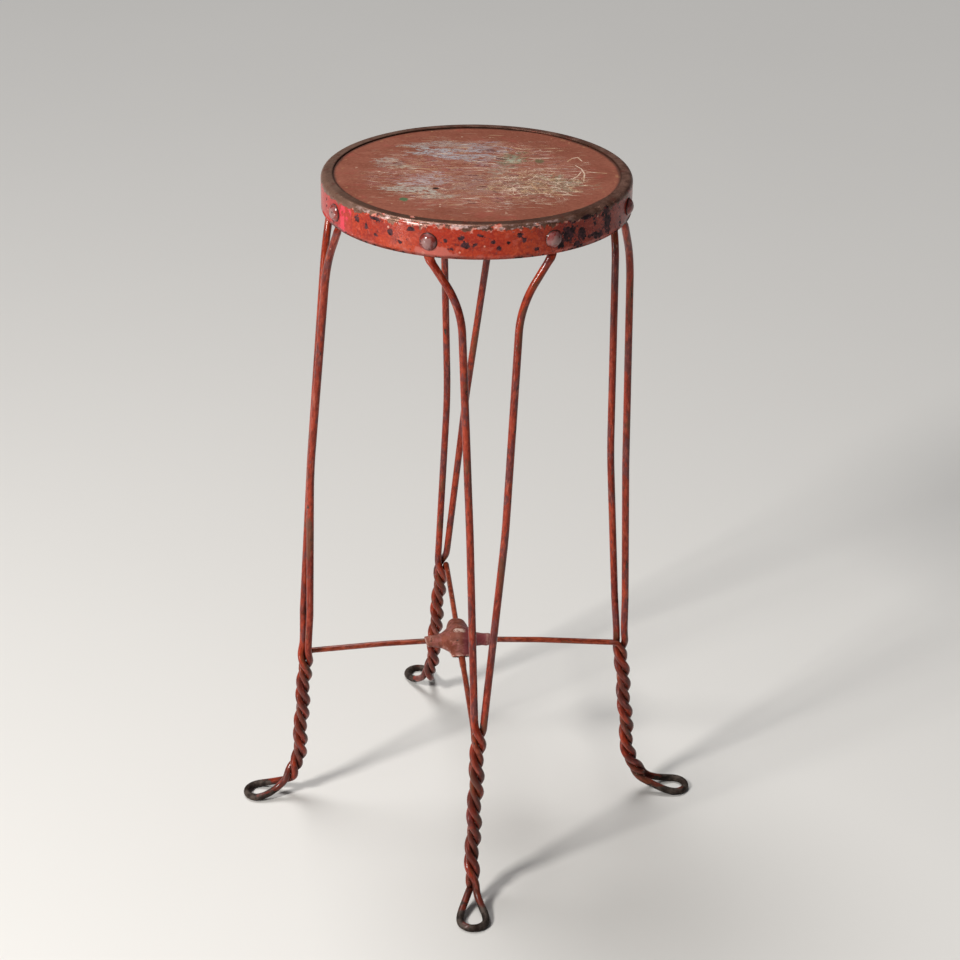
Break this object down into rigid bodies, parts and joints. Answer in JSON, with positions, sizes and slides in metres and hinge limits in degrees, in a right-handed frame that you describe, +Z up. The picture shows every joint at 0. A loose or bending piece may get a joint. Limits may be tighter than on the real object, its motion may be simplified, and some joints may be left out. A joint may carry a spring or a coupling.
{
  "type": "wire stool",
  "caption": "Tall stool with a round board seat in a riveted steel band, on twisted wire legs that end in flat loops and are tied by wires to a small cast hub.",
  "frame": {"origin": "on the floor under the middle of the round seat", "axes": "+Z up, -Y towards the front leg, +X towards the right leg; the legs are turned 6.2 degrees about +Z"},
  "size_m": [0.5209, 0.5328, 0.76],
  "materials": {
    "board": "matt brown-red paint, scuffed",
    "band": "orange-red paint, chipped to dark steel, with a bare worn lip",
    "rivets": "painted over, worn",
    "leg_wire": "dark red-brown gloss paint, worn, with bare feet",
    "stretcher_wire": "dark red-brown gloss paint",
    "hub": "painted pinkish brown-red, worn"
  },
  "bodies": {
    "root": {"seat_board": "board", "seat_band": "band", "band_rivets": "rivets", "leg_front": "leg_wire", "leg_right": "leg_wire", "leg_back": "leg_wire", "leg_left": "leg_wire", "stretcher_front": "stretcher_wire", "stretcher_right": "stretcher_wire", "stretcher_back": "stretcher_wire", "stretcher_left": "stretcher_wire", "hub": "hub"}
  },
  "joints": []
}
